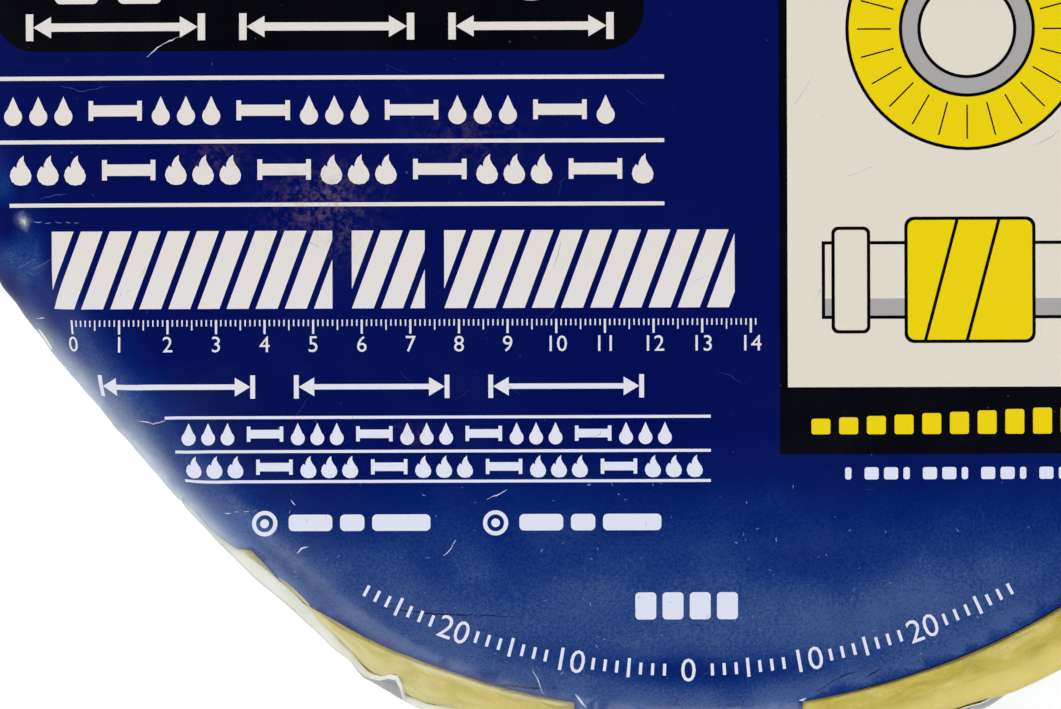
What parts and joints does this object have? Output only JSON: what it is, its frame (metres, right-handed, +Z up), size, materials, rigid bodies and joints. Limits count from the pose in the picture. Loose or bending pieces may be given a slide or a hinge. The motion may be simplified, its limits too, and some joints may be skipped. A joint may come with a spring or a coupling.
{
  "type": "roll of pipe wrap insulation",
  "caption": "Wound roll of foil-backed glass fibre strip for lagging pipes, lying on its end, with a round card label strapped over its upper end.",
  "frame": {"origin": "on the winding axis, at the level that the roll rests on", "axes": "+Z up along the winding axis, towards the labelled end; -Y towards the lower edge of the label as it is read"},
  "size_m": [0.318, 0.3186, 0.0763],
  "materials": {
    "glass_fibre": "matte",
    "foil": "satin",
    "label_card": "gloss"
  },
  "bodies": {
    "root": {"fibreglass_roll": "glass_fibre", "foil_facing": "foil", "paper_label": "label_card"}
  },
  "joints": []
}
